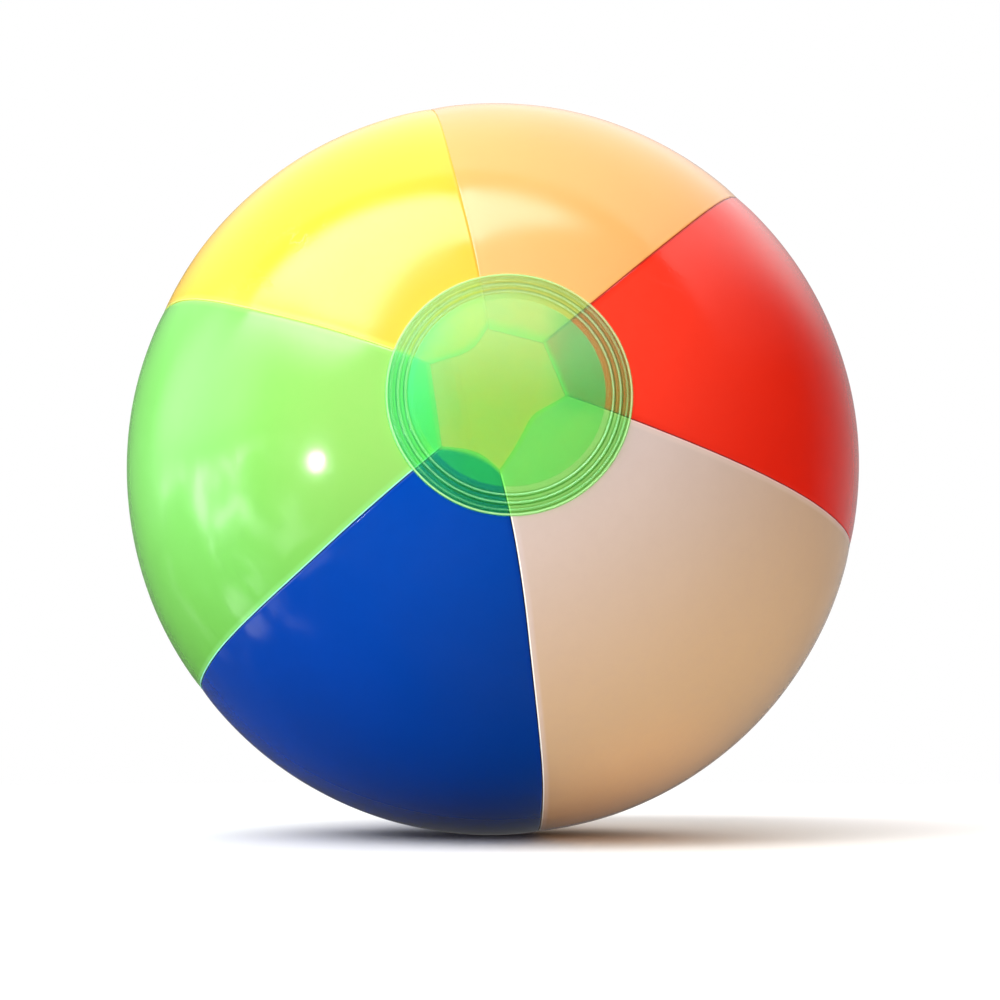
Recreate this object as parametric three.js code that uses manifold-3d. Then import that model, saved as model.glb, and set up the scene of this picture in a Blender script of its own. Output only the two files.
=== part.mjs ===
// Inflatable beach ball, in millimetres, +Z up, with its origin at the centre of the ball.
// The polar axis is Y. Six vinyl panels run from the front pole (-Y) to the rear pole (+Y), and a
// round cap is welded over their cut-off points at each pole. The rear cap carries the air valve,
// pushed in as it is in play: a soft cone lets its tube sink into the ball until the plug lies
// on the skin. Neighbouring films stand a small gap apart where the real ones are welded.

import * as THREE from 'three';
import { mergeVertices } from 'three/addons/utils/BufferGeometryUtils.js';
import Module from 'manifold-3d';

const wasm = await Module();
wasm.setup();

// Driving dimensions
const ballRadius = 125;
const film = 0.3;
const gap = 0.3;

// Panels, clockwise from above as the front cap is looked at. Each width is in degrees of
// longitude. The front point is cut off straight, and cut gives how far from the polar axis
// that edge begins and ends, at the panel's two seams.
const firstSeam = -12;
const panels = [
  { name: 'gore_orange', width: 56, cut: [17.0, 17.0], colour: 0xffd48e },
  { name: 'gore_red', width: 60, cut: [16.6, 15.4], colour: 0xee3a24 },
  { name: 'gore_white', width: 70, cut: [15.4, 22.0], colour: 0xe4d8cf },
  { name: 'gore_blue', width: 57, cut: [22.0, 24.1], colour: 0x0a3f9c },
  { name: 'gore_green', width: 61, cut: [24.1, 23.3], colour: 0xa8f088 },
  { name: 'gore_yellow', width: 56, cut: [20.4, 17.4], colour: 0xfff06a },
];
const panelSteps = 5;
const rearCut = 18;
const firstStation = 5;
const rowsBetweenCaps = 18;

// Caps
const capRim = 15.8;
const capWeldEdge = 12.25; // the film is free inside this angle, and welded outside it
const capSwell = 1.0;
const weldRings = [13.2, 14.2, 15.1];
const ringWidth = 0.45;
const ringHeight = 0.4;
const capSteps = 30;

// Air valve, measured outwards from the rear cap's outside at the pole
const skinTop = gap + film + capSwell;
const valveSteps = 24;
const skinHole = 9.5;
const flangeOuter = 13.5;
const flangeInner = 8.8;
const flangeThick = 0.8;
const mouthLevel = -0.3;
const stemLength = 17;
const stemOuter = 4.7;
const boreRadius = 3.4;
const collarOuter = 5.6;
const collarThick = 1.4;
const footOuter = 5.2;
const footThick = 1.0;
const webThick = 0.5;
const plugHead = 5.4;
const plugHeadThick = 1.6;
const plugPinRoot = 3.2;
const plugPinTip = 2.2;
const plugPinLength = 4.4;
const plugPinStraight = 0.45; // share of the pin that keeps the root's radius
const tetherWidth = 3.6;
const tetherThick = 0.8;
const hingeOut = 7.5; // from the valve's axis to the bend of the tether
const lugOut = 7.1;
const flapRadius = 4.3;
const flapThick = 0.6;

const weldTolerance = 1e-5;
const radians = THREE.MathUtils.degToRad;

// A point of a profile at an angle from the front pole, in the half-plane that is turned about Y.
function polar(radius, degrees) {
  const angle = radians(degrees);
  return new THREE.Vector2(radius * Math.sin(angle), -radius * Math.cos(angle));
}

function bare(geometry) {
  geometry.deleteAttribute('normal');
  geometry.deleteAttribute('uv');
  return mergeVertices(geometry, weldTolerance);
}

function turned(profile, steps) {
  return bare(new THREE.LatheGeometry(profile, steps));
}

function toSolid(geometry) {
  const merged = bare(geometry);
  return new wasm.Manifold(new wasm.Mesh({
    numProp: 3,
    vertProperties: new Float32Array(merged.attributes.position.array),
    triVerts: new Uint32Array(merged.index.array),
  }));
}

function toGeometry(solid) {
  const mesh = solid.getMesh();
  const geometry = new THREE.BufferGeometry();
  geometry.setAttribute('position', new THREE.BufferAttribute(mesh.vertProperties, 3));
  geometry.setIndex(new THREE.BufferAttribute(mesh.triVerts, 1));
  return geometry;
}

function vinyl(colour, opacity = 1) {
  return new THREE.MeshStandardMaterial({
    color: colour,
    roughness: 0.25,
    metalness: 0,
    opacity,
    transparent: opacity < 1,
  });
}

function piece(name, geometry, material) {
  const mesh = new THREE.Mesh(geometry, material);
  mesh.name = name;
  return mesh;
}

// Angles from the front pole at which the panels and the caps are divided alike.
function capStations() {
  return [firstStation, (firstStation + capWeldEdge) / 2, capWeldEdge, capRim];
}

function panelStations() {
  const front = capStations();
  const middle = [];
  for (let row = 1; row < rowsBetweenCaps; row += 1) {
    middle.push(capRim + ((180 - 2 * capRim) * row) / rowsBetweenCaps);
  }
  const rear = front.map((angle) => 180 - angle).reverse();
  return [...front, ...middle, ...rear];
}

// A profile turned through only a part of a circle about Y, to both sides of +Z, with flat ends.
// The ends stand half a gap back from the seam at every distance from the axis.
function turnedSlice(profile, halfWidth, steps) {
  const closed = [...profile, profile[0]];
  const slice = new THREE.LatheGeometry(closed, steps, -halfWidth, 2 * halfWidth);
  const place = slice.attributes.position;
  for (let i = 0; i < place.count; i += 1) {
    const distance = Math.hypot(place.getX(i), place.getZ(i));
    const share = 1 - Math.asin(gap / 2 / distance) / halfWidth;
    const angle = Math.atan2(place.getX(i), place.getZ(i)) * share;
    place.setX(i, distance * Math.sin(angle));
    place.setZ(i, distance * Math.cos(angle));
  }
  const last = steps * closed.length;
  const index = [...slice.index.array];
  for (const [a, b, c] of THREE.ShapeUtils.triangulateShape(profile, [])) {
    index.push(a, b, c);
    index.push(last + a, last + c, last + b);
  }
  slice.setIndex(index);
  return slice;
}

// The space in front of or behind the ball's middle, on the polar axis's side of a straight
// edge. The edge crosses a panel whose middle is at +Z, between two distances from the axis.
function tipCutter([startReach, endReach], halfWidth, side) {
  const start = new THREE.Vector2(-Math.sin(halfWidth), Math.cos(halfWidth)).multiplyScalar(startReach);
  const end = new THREE.Vector2(Math.sin(halfWidth), Math.cos(halfWidth)).multiplyScalar(endReach);
  const along = end.clone().sub(start).normalize();
  const distance = along.x * start.y - along.y * start.x;
  const cutter = new THREE.BoxGeometry(2 * ballRadius, 2 * ballRadius, ballRadius);
  cutter.translate(0, side * ballRadius, distance - ballRadius / 2);
  cutter.rotateY(-Math.atan2(along.y, along.x));
  return toSolid(cutter);
}

// One panel: a slice of the ball's skin, with a straight edge where each point is cut off.
function panel({ name, width, cut, colour }, middle) {
  const halfWidth = radians(width / 2);
  const stations = panelStations();
  const outer = stations.map((angle) => polar(ballRadius, angle));
  const inner = stations.map((angle) => polar(ballRadius - film, angle)).reverse();
  const slice = toSolid(turnedSlice([...outer, ...inner], halfWidth, panelSteps));
  const frontless = slice.subtract(tipCutter(cut, halfWidth, -1));
  const whole = frontless.subtract(tipCutter([rearCut, rearCut], halfWidth, 1));
  const mesh = piece(name, toGeometry(whole), vinyl(colour));
  mesh.rotation.y = radians(middle);
  return mesh;
}

// How far the free middle of a cap swells above the weld.
function swell(angle) {
  const share = Math.min(angle / capWeldEdge, 1);
  return capSwell * Math.cos((share * Math.PI) / 2) ** 2;
}

function capPoint(height, angle) {
  return polar(ballRadius + gap + height + swell(angle), angle);
}

// A cap's section outside an inner angle: over the top, where the weld has left three round
// ridges, out to the rim, and back along the smooth underside.
function capProfile(innerAngle) {
  const outside = capStations().filter((angle) => angle > innerAngle);
  const free = outside.filter((angle) => angle <= capWeldEdge);
  const top = [innerAngle, ...free].map((angle) => capPoint(film, angle));
  for (const ridge of weldRings) {
    top.push(capPoint(film, ridge - ringWidth / 2));
    top.push(capPoint(film + ringHeight, ridge));
    top.push(capPoint(film, ridge + ringWidth / 2));
  }
  top.push(capPoint(film, capRim));
  const under = [innerAngle, ...outside].map((angle) => capPoint(0, angle)).reverse();
  return [...top, ...under];
}

function frontCap(material) {
  return piece('front_cap', turned(capProfile(0), capSteps), material);
}

// The rear cap is the same disc with a hole for the valve, facing the other way.
function rearCap(material) {
  const holeAngle = THREE.MathUtils.radToDeg(Math.asin(skinHole / ballRadius));
  const profile = capProfile(holeAngle);
  const mesh = piece('rear_cap', turned([...profile, profile[0]], capSteps), material);
  mesh.rotation.z = Math.PI;
  return mesh;
}

// The level of the rear cap's underside at a distance from the valve's axis.
function capUnderside(distance) {
  const angle = THREE.MathUtils.radToDeg(Math.asin(distance / ballRadius));
  return -capPoint(0, angle).y - ballRadius - skinTop;
}

// The thick ring under the rear cap by which the valve is welded on. It dishes with the cap.
function flange(material) {
  const profile = [
    new THREE.Vector2(flangeInner, capUnderside(flangeInner) - gap - flangeThick),
    new THREE.Vector2(flangeOuter, capUnderside(flangeOuter) - gap - flangeThick),
    new THREE.Vector2(flangeOuter, capUnderside(flangeOuter) - gap),
    new THREE.Vector2(flangeInner, capUnderside(flangeInner) - gap),
  ];
  return piece('valve_flange', turned([...profile, profile[0]], valveSteps), material);
}

// The thin cone between the flange and the foot of the tube, folded inwards.
function web(material) {
  const top = capUnderside(flangeInner) - gap;
  const bottom = mouthLevel - stemLength;
  const narrow = footOuter + gap;
  const wide = flangeInner - gap - webThick;
  const profile = [
    new THREE.Vector2(narrow, bottom),
    new THREE.Vector2(narrow + webThick, bottom),
    new THREE.Vector2(wide + webThick, top),
    new THREE.Vector2(wide, top),
  ];
  return piece('valve_web', turned([...profile, profile[0]], valveSteps), material);
}

// The tube that is blown into, with a collar at its mouth, a foot inside the ball and a lug
// that the tether grows from.
function stem(material) {
  const bottom = mouthLevel - stemLength;
  const tube = toSolid(turned([
    new THREE.Vector2(boreRadius, bottom),
    new THREE.Vector2(footOuter, bottom),
    new THREE.Vector2(footOuter, bottom + footThick),
    new THREE.Vector2(stemOuter, bottom + footThick),
    new THREE.Vector2(stemOuter, mouthLevel - collarThick),
    new THREE.Vector2(collarOuter, mouthLevel - collarThick),
    new THREE.Vector2(collarOuter, mouthLevel),
    new THREE.Vector2(boreRadius, mouthLevel),
    new THREE.Vector2(boreRadius, bottom),
  ], valveSteps));
  const lugInner = (boreRadius + collarOuter) / 2;
  const lug = new THREE.BoxGeometry(tetherWidth, collarThick, lugOut - lugInner);
  lug.translate(0, mouthLevel - collarThick / 2, -(lugOut + lugInner) / 2);
  return piece('valve_stem', toGeometry(tube.add(toSolid(lug))), material);
}

// The stopper: a flat head and a pin that tapers enough to swing out of the bore.
function plug(material) {
  const under = mouthLevel + gap;
  const waist = new THREE.Vector2(plugPinRoot, under - plugPinLength * plugPinStraight);
  return piece('valve_plug', turned([
    new THREE.Vector2(0, under - plugPinLength),
    new THREE.Vector2(plugPinTip, under - plugPinLength),
    waist,
    new THREE.Vector2(plugPinRoot, under),
    new THREE.Vector2(plugHead, under),
    new THREE.Vector2(plugHead, under + plugHeadThick),
    new THREE.Vector2(0, under + plugHeadThick),
  ], valveSteps), material);
}

// The strap between the plug's head and the tube's lug, bent where it meets the lug.
function tether(material) {
  const low = mouthLevel + gap;
  const length = hingeOut - plugHead - gap;
  const strap = new THREE.BoxGeometry(tetherWidth, tetherThick, length);
  strap.translate(0, low + tetherThick / 2, -(plugHead + gap + length / 2));
  return piece('plug_tether', bare(strap), material);
}

// The soft disc that closes the inner end of the tube, held at its upper edge.
function flap(material) {
  const top = mouthLevel - stemLength - gap;
  const disc = toSolid(new THREE.CylinderGeometry(flapRadius, flapRadius, flapThick, valveSteps));
  const ear = new THREE.BoxGeometry(tetherWidth, flapThick, footOuter);
  ear.translate(0, 0, footOuter / 2);
  const mesh = piece('check_flap', toGeometry(disc.add(toSolid(ear))), material);
  mesh.position.y = top - flapThick / 2;
  return mesh;
}

const ball = new THREE.Group();

let seam = firstSeam;
for (const each of panels) {
  ball.add(panel(each, seam + each.width / 2));
  seam += each.width;
}

const capVinyl = vinyl(0x5fd84a, 0.6);
ball.add(frontCap(capVinyl));
ball.add(rearCap(capVinyl));

const valveVinyl = vinyl(0xe9eee6, 0.85);
const valve = new THREE.Group();
valve.position.y = ballRadius + skinTop;
valve.add(flange(valveVinyl));
valve.add(web(valveVinyl));
valve.add(stem(valveVinyl));
valve.add(plug(valveVinyl));
valve.add(tether(valveVinyl));
valve.add(flap(valveVinyl));
ball.add(valve);

export default ball;
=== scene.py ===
"""Looks for the inflatable beach ball: six welded vinyl panels, two see-through caps and an air valve.

Metres, +Z up, the ball's centre at the origin. The polar axis is Y, with the front cap towards -Y
and the valve in the rear cap. Angles round the axis run clockwise from up, seen from the front.
"""

import math

import bmesh
import bpy
import numpy as np
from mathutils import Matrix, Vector

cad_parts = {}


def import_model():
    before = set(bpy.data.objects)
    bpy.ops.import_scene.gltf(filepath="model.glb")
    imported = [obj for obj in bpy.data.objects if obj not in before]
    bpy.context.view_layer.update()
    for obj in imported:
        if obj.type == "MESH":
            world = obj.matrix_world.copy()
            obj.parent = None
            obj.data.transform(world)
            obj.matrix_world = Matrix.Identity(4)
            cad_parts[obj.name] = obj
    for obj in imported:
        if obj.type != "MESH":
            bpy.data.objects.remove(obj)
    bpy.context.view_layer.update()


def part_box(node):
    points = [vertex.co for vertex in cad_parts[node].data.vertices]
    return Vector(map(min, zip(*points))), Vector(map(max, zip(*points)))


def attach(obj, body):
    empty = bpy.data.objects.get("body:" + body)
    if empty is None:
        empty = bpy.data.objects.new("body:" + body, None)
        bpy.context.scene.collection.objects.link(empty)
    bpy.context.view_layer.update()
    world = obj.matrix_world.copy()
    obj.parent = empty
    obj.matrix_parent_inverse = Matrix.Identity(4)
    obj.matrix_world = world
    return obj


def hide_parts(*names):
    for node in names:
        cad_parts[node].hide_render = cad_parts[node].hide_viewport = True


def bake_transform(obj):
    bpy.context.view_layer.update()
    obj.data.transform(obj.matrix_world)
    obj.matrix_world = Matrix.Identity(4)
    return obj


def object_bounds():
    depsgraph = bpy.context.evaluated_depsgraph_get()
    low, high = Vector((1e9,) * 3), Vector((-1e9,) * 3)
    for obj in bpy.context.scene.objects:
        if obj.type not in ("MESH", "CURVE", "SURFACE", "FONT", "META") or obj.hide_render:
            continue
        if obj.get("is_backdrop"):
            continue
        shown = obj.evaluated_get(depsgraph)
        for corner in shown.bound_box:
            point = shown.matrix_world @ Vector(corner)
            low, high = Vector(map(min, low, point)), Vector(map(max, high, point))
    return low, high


MM = 0.001

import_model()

# Sizes are in metres, unless a comment says mm or degrees. The caps' rims give the ball's radius:
# they lie one gap and one film above the panels.
FILM = 0.3 * MM
GAP = 0.3 * MM
CAP_RIM = math.radians(15.8)
CAP_WELD = math.radians(12.25)
CAP_SWELL = 1.0 * MM
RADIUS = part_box("front_cap")[1].z / math.sin(CAP_RIM) - GAP - FILM

# Panels clockwise from the seam left of the top: name, width in degrees, how far from the axis in mm
# the cut across the front point begins and ends, how far its middle bows towards the axis in mm, and
# whether the panel lies over its neighbour at the seam where it starts and where it ends.
FIRST_SEAM = -12  # degrees
PANELS = [
    ("orange", 56, (18.5, 16.8), 0, True, False),
    ("red", 60, (16.6, 15.4), 0, True, False),
    ("white", 70, (15.4, 22.0), 3.0, True, True),
    ("blue", 57, (22.0, 24.1), 2.0, False, False),
    ("green", 61, (24.1, 23.3), 0, True, False),
    ("yellow", 56, (23.0, 19.5), 2.8, True, False),
]
SEAMS = [FIRST_SEAM + sum(p[1] for p in PANELS[:i]) for i in range(len(PANELS))]
REAR_CUT = (18, 18)
TIP_SINK = 1.4 * MM
TIP_SINK_FULL = math.radians(5.5)

# How far each seam strays clockwise from its meridian in mm: beside the front cap, and further out.
SEAM_STRAY = [(-1.1, 1.5), (-1.5, -1.2), (-1.4, 0.2), (3.3, -1.6), (-0.2, 1.8), (-0.8, 2.2)]

# The blown-up skin: how far it bulges between the seams, dips along them, puckers beside them and
# waves, and how far from a seam the dip and the puckers reach.
BULGE = 0.35 * MM
DIP, DIP_REACH = 0.15 * MM, 3.0 * MM
PUCKER, PUCKER_REACH = 0.035 * MM, 5.5 * MM
WAVE = 0.05 * MM

# A seam: the upper film's raised lip and its rounded edge, and the lower film's drop under it.
LIP_HEIGHT, LIP_PLACE, LIP_WIDTH = 0.03 * MM, 0.5 * MM, 0.4 * MM
EDGE_ROUND, EDGE_WIDTH = 0.05 * MM, 0.13 * MM
LAP_CLEAR = 0.03 * MM
LAP_SLOPE, LAP_SLOPE_INSIDE = 0.6 * MM, 5 * MM

# Distances from a seam in mm at which a panel's mesh has its lines.
LIP_LINES = [0.0, 0.18, 0.4, 0.7, 1.0, 1.5, 2.2, 3.0]
LAP_LINES = [-2.5, -1.2, -0.15]
INNER_COLUMNS = 44
ROW_PITCH = 2.2 * MM
TIP_ROWS = 12
CUT_ROUNDS = 24
NOT_AN_EDGE = 500.0  # the edge distance kept at the points inside the ball

# The caps: three round weld ridges at these angles from the pole in degrees, their painted highlight
# and shadow this strong, with a groove on each side, a bead on the rim and a step where the weld
# begins.
WELD_RINGS = [13.2, 14.2, 15.1]
RING_STRENGTHS = [1.0, 1.0, 0.6]
RIDGE, RIDGE_WIDTH = 0.30 * MM, 0.27 * MM
GROOVE, GROOVE_PLACE, GROOVE_WIDTH = 0.06 * MM, 0.6 * MM, 0.2 * MM
BEAD, BEAD_WIDTH, BEAD_INSET = 0.12 * MM, 0.24 * MM, 0.0024  # the inset is an angle
STEP, STEP_WIDTH = 0.10 * MM, 0.5 * MM
CAP_STEPS = 240
CAP_ROWS, CAP_WELD_ROWS = 22, 84
CAP_HOLE = 9.5 * MM

# The valve, where its packed boxes don't say.
FLANGE_BORE, FLANGE_THICK = 8.8 * MM, 0.8 * MM
WEB_NARROW, WEB_THICK, WEB_ROLL = 5.5 * MM, 0.5 * MM, 0.35 * MM
STEM_BORE, STEM_TUBE, STEM_COLLAR, STEM_FOOT = 3.4 * MM, 4.7 * MM, 5.6 * MM, 5.2 * MM
COLLAR_DEEP, FOOT_DEEP = 1.4 * MM, 1.0 * MM
PIN_TIP, PIN = 2.2 * MM, 3.2 * MM
VALVE_STEPS = 96


# ---------------------------------------------------------------- shapes


def smooth(low, high, x):
    """0 at low and 1 at high, with a soft start and end. low may be the larger."""
    t = np.clip((x - low) / (high - low), 0, 1)
    return t * t * (3 - 2 * t)


def on_sphere(radius, turn, polar):
    """Points at an angle round the axis and an angle from the front pole."""
    return np.stack([
        radius * np.sin(polar) * np.sin(turn),
        -radius * np.cos(polar),
        radius * np.sin(polar) * np.cos(turn),
    ], axis=-1)


def make_piece(name, points, faces, sharp=40, welded=0.0):
    """A closed mesh object with outward normals, smooth but for edges sharper than an angle."""
    mesh = bpy.data.meshes.new(name)
    mesh.from_pydata(np.asarray(points).reshape(-1, 3).tolist(), [], faces)
    work = bmesh.new()
    work.from_mesh(mesh)
    if welded:
        bmesh.ops.remove_doubles(work, verts=work.verts, dist=welded)
    bmesh.ops.recalc_face_normals(work, faces=work.faces)
    work.to_mesh(mesh)
    work.free()
    mesh.shade_smooth()
    mesh.set_sharp_from_angle(angle=math.radians(sharp))
    piece = bpy.data.objects.new(name, mesh)
    bpy.context.scene.collection.objects.link(piece)
    return piece


def shell_faces(rows, columns):
    """Faces of two grids of points, one behind the other, closed by walls along their edges."""
    faces = []
    back = rows * columns
    for i in range(rows - 1):
        for j in range(columns - 1):
            a = i * columns + j
            faces.append((a, a + 1, a + columns + 1, a + columns))
            faces.append((back + a, back + a + columns, back + a + columns + 1, back + a + 1))
    rim = list(range(columns))
    rim += [i * columns + columns - 1 for i in range(1, rows)]
    rim += [(rows - 1) * columns + j for j in range(columns - 2, -1, -1)]
    rim += [i * columns for i in range(rows - 2, 0, -1)]
    for a, b in zip(rim, rim[1:] + rim[:1]):
        faces.append((b, a, back + a, back + b))
    return faces


def fillet(corners, radius, steps=4):
    """A closed outline with its corners rounded. A corner is (distance, height), and may have its
    own radius as a third number."""
    made = []
    count = len(corners)
    for i, corner in enumerate(corners):
        here = np.array(corner[:2], float)
        before = np.array(corners[i - 1][:2], float)
        after = np.array(corners[(i + 1) % count][:2], float)
        wanted = corner[2] if len(corner) > 2 else radius
        in_way, out_way = before - here, after - here
        lengths = np.linalg.norm(in_way), np.linalg.norm(out_way)
        reach = min(wanted, 0.45 * min(lengths))
        if reach < 1e-7 or here[0] < 1e-7:
            made.append(tuple(here))
            continue
        start = here + in_way / lengths[0] * reach
        end = here + out_way / lengths[1] * reach
        for k in range(steps + 1):
            t = k / steps
            made.append(tuple((1 - t) ** 2 * start + 2 * t * (1 - t) * here + t ** 2 * end))
    return made


def turned(name, outline, steps, sharp=50, front=False):
    """An outline of (distance, height along +Y) turned about the axis. front turns it to -Y."""
    side = -1 if front else 1
    turns = np.linspace(0, 2 * math.pi, steps, endpoint=False)
    points = [[(r * math.sin(t), side * y, r * math.cos(t)) for t in turns] for r, y in outline]
    faces = []
    count = len(outline)
    for i in range(count):
        below = (i + 1) % count
        for j in range(steps):
            k = (j + 1) % steps
            faces.append((i * steps + j, i * steps + k, below * steps + k, below * steps + j))
    return make_piece(name, points, faces, sharp, welded=1e-7)


def seam_turn(seam, polar):
    """A seam's angle round the axis. The welded seams stray a little from true meridians."""
    near, far = SEAM_STRAY[seam]
    beside_cap = np.exp((CAP_RIM - polar) / 0.22)
    further = smooth(0.55, 1.1, polar) * (1 - smooth(1.5, 2.4, polar))
    stray = (near * beside_cap + far * further) * MM
    return math.radians(SEAMS[seam]) + stray / (RADIUS * np.sin(polar))


def seam_gap(turn, polar):
    """How far a place is from the nearest seam, along the skin, and which seam that is."""
    distance = RADIUS * np.sin(polar)
    away = np.stack([
        (turn - seam_turn(seam, polar) + math.pi) % (2 * math.pi) - math.pi
        for seam in range(len(SEAMS))])
    nearest = np.abs(away).argmin(axis=0)
    return np.take_along_axis(np.abs(away), nearest[None], axis=0)[0] * distance, nearest


def skin_height(turn, polar):
    """How far the blown-up skin stands off a true sphere: it bulges between the seams, dips along
    them, puckers finely beside them, and waves a little. Under the caps only half the dip is
    left."""
    away, seam = seam_gap(turn, polar)
    along = RADIUS * polar
    half_panel = RADIUS * np.sin(polar) * math.pi / len(SEAMS)
    bulge = BULGE * (1 - (1 - np.clip(away / half_panel, 0, 1)) ** 2)
    dip = -DIP * np.exp(-(away / DIP_REACH) ** 2)
    beat = 0.6 + 0.4 * np.sin(along / (23 * MM) + 2.1 * seam)
    folds = (
        np.sin(along / (1.75 * MM) + 1.7 * seam)
        + 0.8 * np.sin(along / (2.4 * MM) + 2.9 * seam)
        + 0.5 * np.sin(along / (1.2 * MM) + 0.6 * seam)
    )
    pucker = PUCKER * beat * folds * np.exp(-(away / PUCKER_REACH) ** 2)
    x, y, z = np.moveaxis(on_sphere(RADIUS, turn, polar), -1, 0)
    wave = (
        np.sin(x / (9.1 * MM) + 1.3) * np.sin(z / (11.3 * MM) + 0.4)
        + np.sin(y / (8.3 * MM) + 2.2) * np.sin((x + z) / (13.7 * MM))
    )
    clear = CAP_RIM + 0.16
    free = smooth(CAP_RIM, clear, polar) * smooth(CAP_RIM, clear, math.pi - polar)
    return dip * 0.5 + free * (bulge + dip * 0.5 + pucker + WAVE * wave)


def tip_sink(polar):
    """The cut-off points hang free under the middle of the caps, and have dropped a little."""
    inside = np.minimum(polar, math.pi - polar)
    return TIP_SINK * smooth(CAP_WELD, TIP_SINK_FULL, inside)


def panel_rows(tip_angle, rear_angle):
    """Angles from the front pole for the rows of one column, between its two cut-off points."""
    rows = [tip_angle + (CAP_WELD - tip_angle) * k / TIP_ROWS for k in range(TIP_ROWS)]
    count = round(RADIUS * (math.pi - 2 * CAP_WELD) / ROW_PITCH)
    rows += [CAP_WELD + (math.pi - 2 * CAP_WELD) * k / count for k in range(count)]
    end = math.pi - CAP_WELD
    rows += [end + (rear_angle - end) * k / TIP_ROWS for k in range(TIP_ROWS + 1)]
    return rows


def panel(seam, name, cut, bow, over_start, over_end):
    """One panel: a closed shell of film, with a raised lip along the seams where it lies on top, and
    a lap that goes under the neighbour where it doesn't. The lap is thinned towards its edge, so that
    it doesn't show from inside. The distances from the edges are kept for the material."""
    next_seam = (seam + 1) % len(SEAMS)
    whole_turn = 2 * math.pi if next_seam == 0 else 0

    def lines(over):
        return np.array(LIP_LINES if over else LAP_LINES + LIP_LINES) * MM

    def edges(polar):
        return seam_turn(seam, polar), seam_turn(next_seam, polar) + whole_turn

    left, right = lines(over_start), lines(over_end)[::-1]
    shares = np.linspace(0, 1, INNER_COLUMNS + 1)[1:-1]
    columns = len(left) + len(shares) + len(right)

    def column_turns(polar):
        """The angles round the axis of a row of columns, each at its own angle from the pole."""
        distance = RADIUS * np.sin(polar)
        start, end = edges(polar)
        inset = LIP_LINES[-1] * MM / distance
        inner = slice(len(left), columns - len(right))
        first, last = (start + inset)[..., inner], (end - inset)[..., inner]
        return np.concatenate([
            start[..., :inner.start] + left / distance[..., :inner.start],
            first + (last - first) * shares,
            end[..., inner.stop:] - right / distance[..., inner.stop:]], axis=-1)

    def cut_angle(reaches, bow):
        """The angle from the pole at which each column meets the cut across the point."""
        start, end = reaches[0] * MM, reaches[1] * MM
        from_turn = edges(math.asin(start / RADIUS))[0]
        to_turn = edges(math.asin(end / RADIUS))[1]
        angle = np.full(columns, math.asin(start / RADIUS))
        for _ in range(CUT_ROUNDS):
            turn = np.clip(column_turns(angle), from_turn, to_turn)
            reach = start * end * math.sin(to_turn - from_turn) / (
                start * np.sin(turn - from_turn) + end * np.sin(to_turn - turn))
            share = (turn - from_turn) / (to_turn - from_turn)
            reach = reach - 4 * bow * MM * share * (1 - share)
            angle = (angle + np.arcsin(reach / RADIUS)) / 2
        return angle

    front_cut, rear_cut = cut_angle(cut, bow), math.pi - cut_angle(REAR_CUT, 0)
    polar = np.array([panel_rows(front, rear) for front, rear in zip(front_cut, rear_cut)]).T
    distance = RADIUS * np.sin(polar)
    turn = column_turns(polar)

    start, end = edges(polar)
    from_start = (turn - start) * distance
    from_end = (end - turn) * distance
    from_cut = RADIUS * np.minimum(polar - front_cut, rear_cut - polar)
    height = skin_height(turn, polar) - tip_sink(polar)
    top, bottom = height, height - FILM
    for away, over in ((from_start, over_start), (from_end, over_end)):
        if over:
            top = top + LIP_HEIGHT * np.exp(-((away - LIP_PLACE) / LIP_WIDTH) ** 2)
            top = top - EDGE_ROUND * np.exp(-(away / EDGE_WIDTH) ** 2)
        else:
            drop = FILM + LAP_CLEAR
            thinned = 1 - smooth(LAP_LINES[0] * MM, LAP_LINES[-1] * MM, away)
            top = top - drop * (1 - smooth(0.0, LAP_SLOPE, away))
            bottom = bottom - drop * (1 - smooth(0.0, LAP_SLOPE_INSIDE, away))
            bottom = bottom + (FILM - LAP_CLEAR) * thinned
    outer = on_sphere(RADIUS + top, turn, polar)
    under = on_sphere(RADIUS + bottom, turn, polar)
    piece = make_piece(
        "panel_" + name, np.concatenate([outer.reshape(-1, 3), under.reshape(-1, 3)]),
        shell_faces(polar.shape[0], columns))
    kept = {"from_start": from_start, "from_end": from_end, "from_cut": from_cut}
    for label, values in kept.items():
        layer = piece.data.attributes.new(label, "FLOAT", "POINT")
        inside = np.full(values.size, NOT_AN_EDGE)
        both = np.concatenate([values.ravel() / MM, inside])
        layer.data.foreach_set("value", both.astype(np.float32))
    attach(piece, "ball")
    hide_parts("gore_" + name)
    return piece


def cap_swell(polar):
    """How far the pressure lifts the free middle of a cap."""
    return CAP_SWELL * math.cos(min(polar / CAP_WELD, 1) * math.pi / 2) ** 2


def cap_top(polar):
    """Height of a cap's outside above the panels: the film, its swelling, three round weld
    ridges with a shallow groove on each side, and a bead round the rim."""
    height = GAP + FILM + cap_swell(polar)
    for ring in WELD_RINGS:
        off = (polar - math.radians(ring)) * RADIUS
        height += RIDGE * math.exp(-(off / RIDGE_WIDTH) ** 2)
        height -= GROOVE * math.exp(-((abs(off) - GROOVE_PLACE) / GROOVE_WIDTH) ** 2)
    off = (CAP_RIM - BEAD_INSET - polar) * RADIUS
    height += BEAD * math.exp(-(off / BEAD_WIDTH) ** 2)
    off = (polar - CAP_WELD) * RADIUS
    height -= STEP * math.exp(-(off / STEP_WIDTH) ** 2)
    return height


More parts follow.
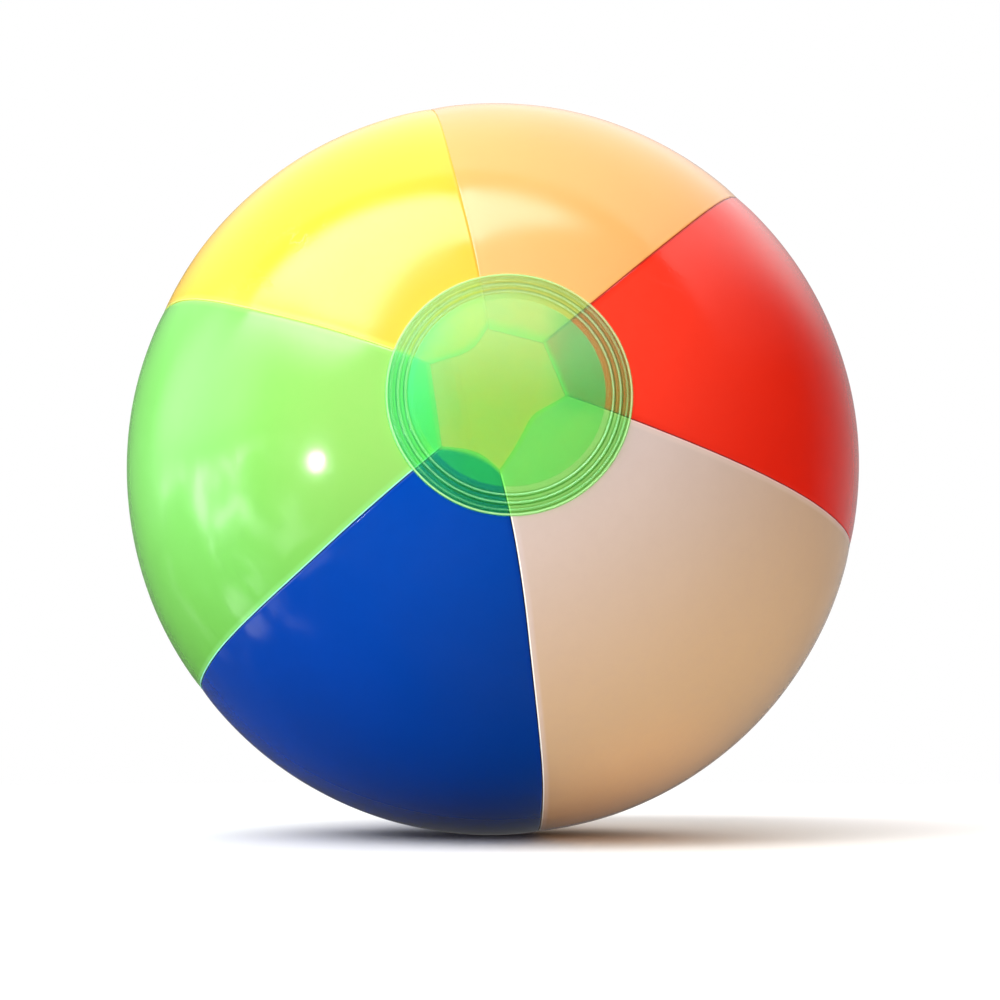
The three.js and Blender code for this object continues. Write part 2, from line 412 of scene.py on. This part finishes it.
def cap(name, node, start, front):
    """A see-through disc of film, welded to the panels outside its free middle. start is the angle
    from the pole at which it begins, so that there can be a hole in it."""
    coarse = [start + (CAP_WELD - start) * k / CAP_ROWS for k in range(CAP_ROWS)]
    fine = list(np.linspace(CAP_WELD, CAP_RIM, CAP_WELD_ROWS))
    angles = coarse + fine
    outline = []
    for a in angles:
        high = RADIUS + cap_top(a)
        outline.append((high * math.sin(a), high * math.cos(a)))
    rim = RADIUS + GAP * 0.6
    outline.append((rim * math.sin(CAP_RIM + 0.0016), rim * math.cos(CAP_RIM + 0.0016)))
    for a in reversed(angles):
        low = RADIUS + GAP * (0.35 + 0.65 * smooth(CAP_WELD, CAP_WELD - 0.03, a)) + cap_swell(a)
        outline.append((low * math.sin(a), low * math.cos(a)))
    piece = turned(name, outline, CAP_STEPS, sharp=70, front=front)
    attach(piece, "ball")
    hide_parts(node)
    return piece


# ---------------------------------------------------------------- materials


def linear(r, g, b):
    """A display colour as the linear one that the shaders take."""
    return tuple(c / 12.92 if c <= 0.04045 else ((c + 0.055) / 1.055) ** 2.4 for c in (r, g, b))


class Material:
    """A node material, built by short calls."""

    def __init__(self, name):
        self.made = bpy.data.materials.new(name)
        self.made.use_nodes = True
        self.tree = self.made.node_tree
        self.tree.nodes.clear()
        self.place = self.add("ShaderNodeTexCoord").outputs["Object"]

    def add(self, kind, **settings):
        node = self.tree.nodes.new(kind)
        for key, value in settings.items():
            setattr(node, key, value)
        return node

    def feed(self, socket, value):
        if isinstance(value, bpy.types.NodeSocket):
            self.tree.links.new(value, socket)
        elif isinstance(value, tuple) and len(value) == 3 and socket.type == "RGBA":
            socket.default_value = (*value, 1)
        else:
            socket.default_value = value

    def math(self, operation, a, b=0.0, c=0.0, clamp=False):
        node = self.add("ShaderNodeMath", operation=operation, use_clamp=clamp)
        for socket, value in zip(node.inputs, (a, b, c)):
            self.feed(socket, value)
        return node.outputs[0]

    def fade(self, value, low, high, to_low=0.0, to_high=1.0):
        """Smoothly from to_low at low to to_high at high."""
        node = self.add("ShaderNodeMapRange", interpolation_type="SMOOTHSTEP")
        for key, given in (("Value", value), ("From Min", low), ("From Max", high),
                           ("To Min", to_low), ("To Max", to_high)):
            self.feed(node.inputs[key], given)
        return node.outputs[0]

    def mix(self, share, a, b):
        node = self.add("ShaderNodeMix", data_type="RGBA")
        self.feed(node.inputs[0], share)
        self.feed(node.inputs[6], a)
        self.feed(node.inputs[7], b)
        return node.outputs[2]

    def noise(self, scale, detail=2.0, roughness=0.5, distortion=0.0):
        node = self.add("ShaderNodeTexNoise")
        self.feed(node.inputs["Vector"], self.place)
        for key, value in (("Scale", scale), ("Detail", detail), ("Roughness", roughness),
                           ("Distortion", distortion)):
            self.feed(node.inputs[key], value)
        return node.outputs[0]

    def attribute(self, name):
        return self.add("ShaderNodeAttribute", attribute_name=name).outputs["Fac"]

    def axis(self, name):
        node = self.add("ShaderNodeSeparateXYZ")
        self.feed(node.inputs[0], self.place)
        return node.outputs[name]

    def bump(self, height, distance, strength=1.0):
        node = self.add("ShaderNodeBump")
        self.feed(node.inputs["Height"], height)
        self.feed(node.inputs["Distance"], distance)
        self.feed(node.inputs["Strength"], strength)
        return node.outputs[0]

    def vinyl(self, colour, roughness, normal, level=0.5):
        node = self.add("ShaderNodeBsdfPrincipled")
        self.feed(node.inputs["Base Color"], colour)
        self.feed(node.inputs["Roughness"], roughness)
        self.feed(node.inputs["Specular IOR Level"], level)
        self.feed(node.inputs["IOR"], 1.5)
        self.feed(node.inputs["Normal"], normal)
        return node.outputs[0]

    def blend(self, share, a, b):
        """Shader a, with a share of shader b."""
        node = self.add("ShaderNodeMixShader")
        self.feed(node.inputs[0], share)
        self.tree.links.new(a, node.inputs[1])
        self.tree.links.new(b, node.inputs[2])
        return node.outputs[0]

    def finish(self, shader):
        out = self.add("ShaderNodeOutputMaterial")
        self.tree.links.new(shader, out.inputs["Surface"])
        return self.made

    def film_bump(self):
        """Soft orange peel and a few faint creases of the folded-up film."""
        peel = self.noise(420, 3, 0.55)
        crease = self.noise(34, 4, 0.62, 1.4)
        ridge = self.math("ABSOLUTE", self.math("SUBTRACT", crease, 0.5))
        line = self.fade(ridge, 0.0, 0.016, 1.0, 0.0)
        where = self.fade(self.noise(17, 1), 0.56, 0.70)
        marks = self.math("MULTIPLY", line, where)
        height = self.math("MULTIPLY_ADD", marks, 0.5, self.math("MULTIPLY", peel, 0.16))
        return self.bump(height, 0.10 * MM, 0.55)

    def worn(self, low, high):
        """Roughness with smudges."""
        return self.fade(self.noise(23, 5, 0.6, 0.5), 0.3, 0.75, low, high)


def panel_material(
        name, base, deep, front_painted_light, far, start_edge=None, end_edge=None, level=0.5, within=None,
        soft=2.0, lean=0.5):
    """Vinyl of one colour: base blotched with deep. Painted light and shade: round the front pole the
    colour turns to the pole's painted light, and towards the foot, which leans to the right by lean,
    to far, a painted shade on most panels and a painted warm bounce light on the white one. An edge
    is the colour of the thin line of a seam and of the band beside it; the dark lines are painted
    shadow in the seam's groove. within is the colour seen inside the ball. The cut-off points, which
    hang under the cap, fade over their last soft mm to a painted tone of the ball's lit inside."""
    m = Material("vinyl_" + name)
    x, y, z = (m.axis(a) for a in "XYZ")
    blotch = m.fade(m.noise(9, 3, 0.5), 0.25, 0.8)
    colour = m.mix(blotch, base, deep)
    # Painted light and shade: round the front pole the colour turns to the pole's painted light.
    pole = m.fade(y, -0.122, -0.085, 1.0, 0.0)
    colour = m.mix(m.math("MULTIPLY", pole, 0.75), colour, front_painted_light)
    # Painted light and shade: towards the foot, leaning right, the colour turns to far, a painted
    # shade on most panels and a painted warm bounce light on the white one.
    down = m.fade(m.math("SUBTRACT", m.math("MULTIPLY", x, lean), z), 0.005, 0.12)
    colour = m.mix(m.math("MULTIPLY", down, 0.8), colour, far)
    fine = m.noise(260, 4, 0.6)
    colour = m.mix(m.fade(fine, 0.35, 0.75, 0.0, 0.08), colour, deep)
    for label, edge in (("from_start", start_edge), ("from_end", end_edge)):
        if edge is None:
            continue
        # The dark line colours are painted shadow in the seam's groove.
        line, band = edge
        away = m.attribute(label)
        colour = m.mix(m.fade(away, 0.9, 2.2, 0.35, 0.0), colour, band)
        colour = m.mix(m.fade(away, 0.24, 0.48, 0.95, 0.0), colour, line)
    # Painted light: the cut-off points fade to a painted tone of the lit inside of the ball.
    painted_inner_glow = m.fade(m.attribute("from_cut"), 0.1, soft, 0.9, 0.0)
    colour = m.mix(painted_inner_glow, colour, linear(0.78, 0.76, 0.38))
    if within:
        inside = m.fade(m.attribute("from_start"), NOT_AN_EDGE - 2, NOT_AN_EDGE - 1)
        colour = m.mix(inside, colour, within)
    return m.finish(m.vinyl(colour, m.worn(0.09, 0.17), m.film_bump(), level))


def panel_materials():
    """The six vinyls, each with the colours of its own seams."""
    inner_tone = linear(1, 0.86, 0.42)
    # The pole colours and far are painted light and shade; the dark edge lines are painted shadow in
    # the seams' grooves.
    looks = {
        "orange": dict(
            base=linear(0.99, 0.71, 0.40), deep=linear(0.98, 0.67, 0.35),
            front_painted_light=linear(0.99, 0.68, 0.43), far=linear(0.99, 0.70, 0.36),
            # dark line: painted shadow in the groove of the seam with red
            end_edge=(linear(0.66, 0.16, 0.07), linear(0.98, 0.70, 0.38)),
            within=inner_tone, soft=4.5),
        "red": dict(
            base=linear(0.95, 0.16, 0.05), deep=linear(0.92, 0.13, 0.02),
            front_painted_light=linear(0.96, 0.25, 0.17), far=linear(0.82, 0.09, 0.02),
            # both dark lines: painted shadow in the seams' grooves
            start_edge=(linear(0.74, 0.09, 0.05), linear(0.92, 0.17, 0.09)),
            end_edge=(linear(0.50, 0.06, 0.05), linear(0.86, 0.15, 0.09)), lean=0.9),
        "white": dict(
            base=linear(0.75, 0.66, 0.62), deep=linear(0.72, 0.61, 0.56),
            front_painted_light=linear(0.81, 0.75, 0.74), far=linear(0.82, 0.67, 0.48),
            start_edge=(linear(0.95, 0.76, 0.74), linear(0.88, 0.77, 0.73)),
            end_edge=(linear(1, 1, 0.97), linear(0.86, 0.80, 0.80))),
        "blue": dict(
            base=linear(0.0, 0.24, 0.64), deep=linear(0.0, 0.19, 0.51),
            front_painted_light=linear(0.0, 0.26, 0.65), far=linear(0.0, 0.18, 0.46),
            # dark navy line: painted shadow beside the white film's edge
            start_edge=(linear(0.01, 0.06, 0.24), linear(0.02, 0.20, 0.55)),
            end_edge=(linear(0.02, 0.18, 0.48), linear(0.02, 0.23, 0.62)), level=0.3, lean=0.8),
        "green": dict(
            base=linear(0.51, 0.83, 0.42), deep=linear(0.46, 0.79, 0.34),
            front_painted_light=linear(0.57, 0.77, 0.37), far=linear(0.35, 0.62, 0.16),
            start_edge=(linear(0.62, 0.95, 0.86), linear(0.56, 0.88, 0.52)),
            end_edge=(linear(0.74, 0.95, 0.50), linear(0.64, 0.90, 0.44)), lean=-0.1),
        "yellow": dict(
            base=linear(0.99, 0.81, 0.24), deep=linear(0.99, 0.79, 0.19),
            front_painted_light=linear(0.99, 0.72, 0.27), far=linear(0.96, 0.82, 0.26),
            start_edge=(linear(0.86, 0.95, 0.50), linear(0.96, 0.90, 0.40)),
            within=inner_tone, soft=3.0),
    }
    return {name: panel_material(name, **look) for name, look in looks.items()}


def film_shader(m, tint, haze, body):
    """Clear coloured film: what passes is tinted, a share is scattered in the film's own colour,
    and the outside shines."""
    normal = m.film_bump()
    clear = m.add("ShaderNodeBsdfTransparent")
    m.feed(clear.inputs["Color"], tint)
    solid = m.vinyl(body, 0.3, normal, 0.0)
    through = m.blend(haze, clear.outputs[0], solid)
    shine = m.add("ShaderNodeBsdfGlossy")
    m.feed(shine.inputs["Color"], (1.0, 1.0, 1.0))
    m.feed(shine.inputs["Roughness"], 0.14)
    m.feed(shine.inputs["Normal"], normal)
    edge = m.add("ShaderNodeFresnel")
    m.feed(edge.inputs["IOR"], 1.5)
    m.feed(edge.inputs["Normal"], normal)
    outside = m.math("SUBTRACT", 1.0, m.add("ShaderNodeNewGeometry").outputs["Backfacing"])
    share = m.math("MULTIPLY", edge.outputs[0], outside)
    return m.blend(share, through, shine.outputs[0])


def cap_material():
    """The caps' green film: milkier over the free middle than where it is welded down, with a painted
    highlight on the weld ridges' crests, painted shadow in the grooves beside them and a painted
    highlight along the rim bead. Painted light from above makes it paler high up. It is greener on the
    left, and deeper over the red panel's point. Distances are in mm from the axis."""
    m = Material("cap_film")
    x, z = m.axis("X"), m.axis("Z")
    square = m.math("ADD", m.math("MULTIPLY", x, x), m.math("MULTIPLY", z, z))
    out = m.math("DIVIDE", m.math("SQRT", square), MM)
    weld, rim_line = (RADIUS / MM * math.sin(a) for a in (CAP_WELD, CAP_RIM))
    free = m.fade(out, weld - 0.4, weld + 0.1, 1.0, 0.0)
    # Painted highlight on each ridge's crest, and painted shadow in the grooves beside it.
    painted_crest_highlight = groove = 0.0
    for ring, strength in zip(WELD_RINGS, RING_STRENGTHS):
        off = m.math("SUBTRACT", out, RADIUS / MM * math.sin(math.radians(ring)))
        top = m.fade(m.math("ABSOLUTE", off), 0.08, 0.36, strength, 0.0)
        painted_crest_highlight = m.math("ADD", painted_crest_highlight, top, clamp=True)
        outer = m.math("ABSOLUTE", m.math("SUBTRACT", off, 0.58))
        inner = m.math("ABSOLUTE", m.math("ADD", off, 0.52))
        groove = m.math("ADD", groove, m.fade(outer, 0.08, 0.30, strength, 0.0), clamp=True)
        groove = m.math("ADD", groove, m.fade(inner, 0.03, 0.20, 0.6 * strength, 0.0), clamp=True)
    # Painted highlight along the rim bead, peach on the right over the red panel.
    from_rim = m.math("ABSOLUTE", m.math("SUBTRACT", out, rim_line - 0.25))
    rim = m.fade(from_rim, 0.10, 0.38, 1.0, 0.0)
    # Painted light from above: the film's tint, haze and colour go paler high up.
    high = m.fade(z, -0.012, 0.024)
    left = m.fade(x, -0.032, -0.008, 1.0, 0.0)
    right = m.math("MULTIPLY", m.fade(x, 0.007, 0.019), m.fade(z, -0.008, -0.001))
    upper_left = m.fade(m.math("SUBTRACT", x, z), -0.040, 0.0, 1.0, 0.0)
    before_ridge = m.math(
        "MULTIPLY", m.fade(out, weld + 1.2, weld + 1.7, 1.0, 0.0), m.fade(out, weld - 0.4, weld + 0.1))

    # Tint, haze and body below carry painted light and shade: from above, on the crests, in the
    # grooves and on the rim.
    tint = m.mix(high, (0.82, 0.97, 0.63), (0.92, 0.98, 0.68))
    tint = m.mix(right, tint, (0.67, 0.90, 0.52))
    tint = m.mix(free, (0.85, 0.99, 0.74), tint)
    tint = m.mix(m.math("MULTIPLY", groove, 0.8), tint, (0.50, 0.68, 0.30))

    milk = m.fade(m.noise(60, 3), 0.3, 0.7, 0.9, 1.1)
    share = m.math("MULTIPLY_ADD", high, 0.08, 0.10)
    haze = m.math("MULTIPLY", m.math("MULTIPLY_ADD", free, share, 0.10), milk)
    haze = m.math("MULTIPLY_ADD", left, 0.06, haze)
    haze = m.math("MULTIPLY_ADD", m.math("MULTIPLY", before_ridge, upper_left), 0.16, haze)
    haze = m.math("MULTIPLY_ADD", painted_crest_highlight, 0.20, haze)
    haze = m.math("MULTIPLY_ADD", rim, 0.34, haze, clamp=True)

    body = m.mix(high, (0.04, 0.80, 0.19), (0.34, 0.88, 0.40))
    body = m.mix(m.math("MULTIPLY", left, 0.7), body, (0.06, 0.90, 0.50))
    body = m.mix(painted_crest_highlight, body, m.mix(high, (0.30, 0.82, 0.38), (0.52, 0.90, 0.52)))
    body = m.mix(rim, body, m.mix(right, (0.58, 0.92, 0.46), (0.80, 0.80, 0.44)))
    return m.finish(film_shader(m, tint, haze, body))


def valve_material():
    """The valve's thick soft vinyl: milky, a little see-through."""
    m = Material("valve_vinyl")
    blotch = m.fade(m.noise(180, 4), 0.3, 0.7)
    tone = m.mix(blotch, linear(0.90, 0.93, 0.90), linear(0.95, 0.96, 0.93))
    haze = m.fade(m.noise(90, 2), 0.3, 0.7, 0.62, 0.74)
    return m.finish(film_shader(m, (0.95, 0.98, 0.95), haze, tone))


# ---------------------------------------------------------------- valve


def valve_pieces():
    """The valve's parts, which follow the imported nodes' boxes, with every edge rounded. All lie
    along the axis, +Y outwards."""
    flange_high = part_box("valve_flange")[1]
    stem_low, stem_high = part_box("valve_stem")
    web_low, web_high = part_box("valve_web")
    plug_low, plug_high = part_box("valve_plug")
    tether_low, tether_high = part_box("plug_tether")
    flap_low, flap_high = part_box("check_flap")

    def under_cap(distance):
        angle = math.asin(distance / RADIUS)
        return (RADIUS + GAP + cap_swell(angle)) * math.cos(angle) - GAP

    rings = np.linspace(FLANGE_BORE, flange_high.z, 7)
    top = [(r, under_cap(r)) for r in rings]
    low = [(r, under_cap(r) - FLANGE_THICK) for r in rings[::-1]]
    flange = turned("flange_disc", fillet(top + low, 0.25 * MM), VALVE_STEPS)
    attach(flange, "ball")
    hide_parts("valve_flange")

    # the soft cone, with the slight roll of a film that can turn itself inside out
    wide = FLANGE_BORE - GAP - WEB_THICK
    outside, inside = [], []
    for t in np.linspace(0, 1, 33):
        roll = WEB_ROLL * math.sin(2 * math.pi * t)
        distance = WEB_NARROW + (wide - WEB_NARROW) * t + roll
        height = web_low.y + (web_high.y - web_low.y) * t
        inside.append((distance, height))
        outside.append((distance + WEB_THICK, height))
    web = turned("valve_cone", inside + outside[::-1], VALVE_STEPS)
    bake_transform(web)
    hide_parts("valve_web")

    base, mouth = stem_low.y, stem_high.y
    outline = fillet([
        (STEM_BORE, base), (STEM_FOOT, base), (STEM_FOOT, base + FOOT_DEEP),
        (STEM_TUBE, base + FOOT_DEEP), (STEM_TUBE, mouth - COLLAR_DEEP),
        (STEM_COLLAR, mouth - COLLAR_DEEP), (STEM_COLLAR, mouth), (STEM_BORE, mouth, 0.7 * MM),
    ], 0.3 * MM)
    stem = turned("stem_tube", outline, VALVE_STEPS)
    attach(stem, "valve")
    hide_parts("valve_stem")

    # the stopper: a tapered pin under a round head with a shallow dish in its top
    under, head, head_top = tether_low.y, plug_high.z, plug_high.y
    dish = head_top - 0.35 * MM
    outline = fillet([
        (0, plug_low.y), (PIN_TIP, plug_low.y, 0.6 * MM), (PIN, under - 2.0 * MM, 0.8 * MM),
        (PIN, under), (head, under), (head, dish, 0.7 * MM),
        (head - 1.1 * MM, head_top, 0.5 * MM), (head - 1.9 * MM, head_top - 0.30 * MM, 0.5 * MM),
        (0, dish),
    ], 0.3 * MM)
    plug = turned("stopper", outline, VALVE_STEPS)
    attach(plug, "plug")
    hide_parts("valve_plug")

    # the strap from under the stopper's head, and the lug on the collar that it is moulded to
    half = (tether_high.x - tether_low.x) / 2
    strap_thick = tether_high.y - tether_low.y
    middle_y = (tether_low.y + tether_high.y) / 2
    path = [(z, middle_y) for z in np.linspace(tether_high.z + 0.45 * MM, tether_low.z, 9)]
    strap = ribbon("tether_strap", path, half, strap_thick)
    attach(strap, "plug")
    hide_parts("plug_tether")
    lug_path = [(z, mouth - COLLAR_DEEP / 2) for z in np.linspace(-STEM_FOOT, stem_low.z, 7)]
    lug = ribbon("tether_lug", lug_path, half, COLLAR_DEEP)
    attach(lug, "valve")

    # the flap, with the ear by which it hangs
    flap_thick = flap_high.y - flap_low.y
    flap_middle = flap_high.y - flap_thick / 2
    disc = turned("flap_disc", fillet([
        (0, flap_low.y), (-flap_low.z, flap_low.y), (-flap_low.z, flap_high.y), (0, flap_high.y),
    ], 0.2 * MM), VALVE_STEPS)
    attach(disc, "flap")
    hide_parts("check_flap")
    ear_path = [(z, flap_middle) for z in np.linspace(3.0 * MM, flap_high.z, 6)]
    ear = ribbon("flap_ear", ear_path, half, flap_thick * 0.96)
    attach(ear, "flap")

    pieces = [flange, web, stem, plug, strap, lug, disc, ear]
    return pieces


def ribbon(name, path, half, thick):
    """A soft strap across X along a path of (z, y) points, with round edges and corners."""
    across = 20
    section = []
    for k in range(across):
        t = 2 * math.pi * k / across
        sx = math.copysign(abs(math.cos(t)) ** 0.35, math.cos(t))
        sy = math.copysign(abs(math.sin(t)) ** 0.7, math.sin(t))
        section.append((half * sx, thick / 2 * sy))
    ends = []
    for i, (z, y) in enumerate(path):
        before = np.array(path[max(i - 1, 0)])
        after = np.array(path[min(i + 1, len(path) - 1)])
        way = (after - before) / np.linalg.norm(after - before)
        up = np.array([-way[1], way[0]])
        if up[1] < 0:
            up = -up
        ends.append([(sx, y + up[1] * sy, z + up[0] * sy) for sx, sy in section])
    points = [p for ring in ends for p in ring]
    faces = []
    for i in range(len(path) - 1):
        for k in range(across):
            n = (k + 1) % across
            faces.append((i * across + k, i * across + n, (i + 1) * across + n, (i + 1) * across + k))
    faces.append(tuple(range(across)))
    faces.append(tuple((len(path) - 1) * across + k for k in range(across)))
    return make_piece(name, points, faces, sharp=60)


# ---------------------------------------------------------------- build


materials = panel_materials()
for seam, (name, _, *shape) in enumerate(PANELS):
    panel(seam, name, *shape).data.materials.append(materials[name])

film = cap_material()
hole = math.asin(CAP_HOLE / RADIUS)
for piece in (cap("cap_front", "front_cap", 0.0, True), cap("cap_rear", "rear_cap", hole, False)):
    piece.data.materials.append(film)

milky = valve_material()
for piece in valve_pieces():
    piece.data.materials.append(milky)


# ---------------------------------------------------------------- stage, light and camera


def floor():
    """A pale round floor that fades into the white behind it."""
    mesh = bpy.data.meshes.new("floor")
    work = bmesh.new()
    bmesh.ops.create_circle(work, cap_ends=True, radius=6, segments=96)
    bmesh.ops.translate(work, verts=work.verts, vec=(0, 0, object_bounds()[0].z))
    work.to_mesh(mesh)
    work.free()
    disc = bpy.data.objects.new("floor", mesh)
    bpy.context.scene.collection.objects.link(disc)
    m = Material("floor")
    x, y = m.axis("X"), m.axis("Y")
    out = m.math("SQRT", m.math("ADD", m.math("MULTIPLY", x, x), m.math("MULTIPLY", y, y)))
    pale = m.add("ShaderNodeBsdfDiffuse")
    m.feed(pale.inputs["Color"], (0.86, 0.86, 0.85))
    clear = m.add("ShaderNodeBsdfTransparent")
    faded = m.blend(m.fade(out, 0.22, 0.95), pale.outputs[0], clear.outputs[0])
    mesh.materials.append(m.finish(faded))
    disc.visible_glossy = False
    disc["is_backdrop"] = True


def lamp(data, place, power, colour, shines=False, aim=(0, 0, 0)):
    """A light put in its place and turned to its aim. Most light the ball without a reflection."""
    data.energy = power
    data.color = colour
    made = bpy.data.objects.new(data.name, data)
    made.location = place
    made.rotation_euler = (Vector(aim) - Vector(place)).to_track_quat("-Z", "Y").to_euler()
    made.visible_camera = False
    made.visible_glossy = shines
    bpy.context.scene.collection.objects.link(made)


def area_light(name, place, size, power, colour=(1, 1, 1), shines=False):
    data = bpy.data.lights.new(name, "AREA")
    data.shape = "RECTANGLE"
    data.size = size
    data.size_y = size
    lamp(data, place, power, colour, shines)


def spot_light(name, place, aim, power, colour, cone, blend):
    data = bpy.data.lights.new(name, "SPOT")
    data.shadow_soft_size = 0.004
    data.spot_size = cone
    data.spot_blend = blend
    lamp(data, place, power, colour, aim=aim)


def lights():
    """A small key, whose reflection shows on the green panel, broad fills, a spot that falls on the
    front cap only, a warm one on the foot, and a weak lamp inside the ball for its walls."""
    area_light("key", (-0.747, -0.602, -0.090), 0.055, 1.0, (1, 0.99, 0.97), shines=True)
    area_light("fill_high", (-0.35, -1.22, 0.92), 1.2, 11.8)
    area_light("fill_low", (0.15, -1.45, 0.10), 1.0, 4.0, (1, 0.96, 0.92))
    area_light("fill_back", (0.3, 1.4, 0.8), 1.2, 11.0)
    area_light("fill_right", (1.10, 0.15, 0.05), 0.6, 1.3, (1, 0.68, 0.60))
    cap_cone = 2 * math.atan(RADIUS * math.sin(CAP_RIM) / (1.0 - RADIUS))
    spot_light("cap_glow", (0, -1.0, 0), (0, 0, 0), 11, (1, 1, 1), cap_cone, 0.12)
    spot_light(
        "warm_foot", (0.26, -0.72, -0.112), (0.035, 0, -0.150), 13, (1, 0.62, 0.30), 0.20, 1.0)
    inside = bpy.data.lights.new("inside", "POINT")
    inside.shadow_soft_size = 0.03
    lamp(inside, (0, 0, 0), 0.25, (1.0, 0.92, 0.80), aim=(0, 1, 0))


class Sky:
    """Short calls for the world's nodes, which work on the direction that light comes from."""

    def __init__(self):
        made = bpy.data.worlds.new("studio")
        bpy.context.scene.world = made
        made.use_nodes = True
        self.tree = made.node_tree
        self.tree.nodes.clear()
        self.way = self.tree.nodes.new("ShaderNodeTexCoord").outputs["Generated"]
        split = self.tree.nodes.new("ShaderNodeSeparateXYZ")
        self.tree.links.new(self.way, split.inputs[0])
        self.x, self.y, self.z = split.outputs

    def node(self, kind, values, **settings):
        node = self.tree.nodes.new(kind)
        for key, value in settings.items():
            setattr(node, key, value)
        for socket, value in zip(node.inputs, values):
            if isinstance(value, bpy.types.NodeSocket):
                self.tree.links.new(value, socket)
            else:
                socket.default_value = value
        return node.outputs[0]

    def fade(self, value, low, high, to_low=0.0, to_high=1.0):
        """Smoothly from to_low at low to to_high at high."""
        return self.node("ShaderNodeMapRange", (value, low, high, to_low, to_high),
                         interpolation_type="SMOOTHSTEP")

    def cloud(self):
        """Soft uneven patches."""
        node = self.tree.nodes.new("ShaderNodeTexNoise")
        self.tree.links.new(self.way, node.inputs["Vector"])
        node.inputs["Scale"].default_value = 4.2
        node.inputs["Detail"].default_value = 3.0
        node.inputs["Distortion"].default_value = 0.8
        return node.outputs[0]

    def chain(self, operation, values):
        total = values[0]
        for value in values[1:]:
            total = self.node("ShaderNodeMath", (total, value), operation=operation)
        return total

    def times(self, *values):
        return self.chain("MULTIPLY", values)

    def plus(self, *values):
        return self.chain("ADD", values)


def world():
    """White behind everything the camera sees. As light, a dim room with a long soft box overhead, a
    weaker ceiling beyond it after a gap, a bright backdrop behind the ball, and on the left a pale
    wall high up with two cloudy openings below it."""
    sky = Sky()
    x, y, z = sky.x, sky.y, sky.z
    slant = sky.plus(y, sky.times(x, 0.29))
    front = sky.plus(y, sky.times(x, -0.36))
    box = sky.times(
        sky.fade(front, -0.54, -0.36), sky.fade(slant, -0.25, -0.12, 1.0, 0.0),
        sky.fade(x, -0.95, -0.70), sky.fade(x, 0.15, 0.52, 1.0, 0.0),
        sky.fade(z, 0.30, 0.55), sky.fade(x, -0.5, 0.3, 5.8, 5.0))
    ceiling = sky.times(
        sky.fade(slant, -0.07, 0.01), sky.fade(z, 0.30, 0.65),
        sky.fade(x, -0.6, 0.1, 0.62, 1.0), sky.fade(x, 0.60, 0.84, 1.0, 0.25))
    behind = sky.times(
        sky.fade(y, 0.20, 0.95, 0.0, 0.38), sky.fade(x, 0.0, 0.5, 0.3, 1.0),
        sky.fade(z, -0.20, 0.10, 0.5, 1.0))
    wall = sky.times(
        sky.fade(x, -0.92, -0.72, 1.0, 0.0), sky.fade(y, -0.35, -0.05),
        sky.fade(z, -0.10, 0.25), 1.5)
    low_opening = sky.times(
        sky.fade(x, -0.86, -0.70, 1.0, 0.0), sky.fade(z, -0.80, -0.60),
        sky.fade(z, 0.0, 0.12, 1.0, 0.0), sky.fade(sky.cloud(), 0.50, 0.62), 1.8)
    side_opening = sky.times(
        sky.fade(x, -0.985, -0.93, 1.0, 0.0), sky.fade(z, -0.36, -0.20),
        sky.fade(z, 0.0, 0.10, 1.0, 0.0), sky.fade(y, -0.28, -0.12),
        sky.fade(sky.cloud(), 0.44, 0.56, 0.45, 1.0), 3.4)
    room = 0.045
    light = sky.plus(box, ceiling, behind, wall, low_opening, side_opening, room)
    seen = sky.tree.nodes.new("ShaderNodeLightPath").outputs["Is Camera Ray"]
    unseen = sky.node("ShaderNodeMath", (1.0, seen), operation="SUBTRACT")
    shade = sky.tree.nodes.new("ShaderNodeBackground")
    shade.inputs["Color"].default_value = (1, 1, 1, 1)
    strength = sky.plus(sky.times(light, unseen), seen)
    sky.tree.links.new(strength, shade.inputs["Strength"])
    out = sky.tree.nodes.new("ShaderNodeOutputWorld")
    sky.tree.links.new(shade.outputs[0], out.inputs["Surface"])


def camera():
    """A little below the ball's middle and a little to its left, looking up at it."""
    distance = 4.4 * RADIUS
    left, below = math.radians(2.1), math.radians(10.2)
    level = math.cos(below)
    away = Vector((-math.sin(left) * level, -math.cos(left) * level, -math.sin(below)))
    aim = Vector((2.3 * MM, 0, -10.4 * MM))
    data = bpy.data.cameras.new("camera")
    data.sensor_width = 36
    data.lens = 56.34
    data.clip_start = 0.01
    data.clip_end = 50
    eye = bpy.data.objects.new("camera", data)
    eye.location = away * distance
    eye.rotation_euler = (aim - eye.location).to_track_quat("-Z", "Y").to_euler()
    bpy.context.scene.collection.objects.link(eye)
    bpy.context.scene.camera = eye


floor()
lights()
world()
camera()
bpy.context.scene.view_settings.view_transform = "Standard"
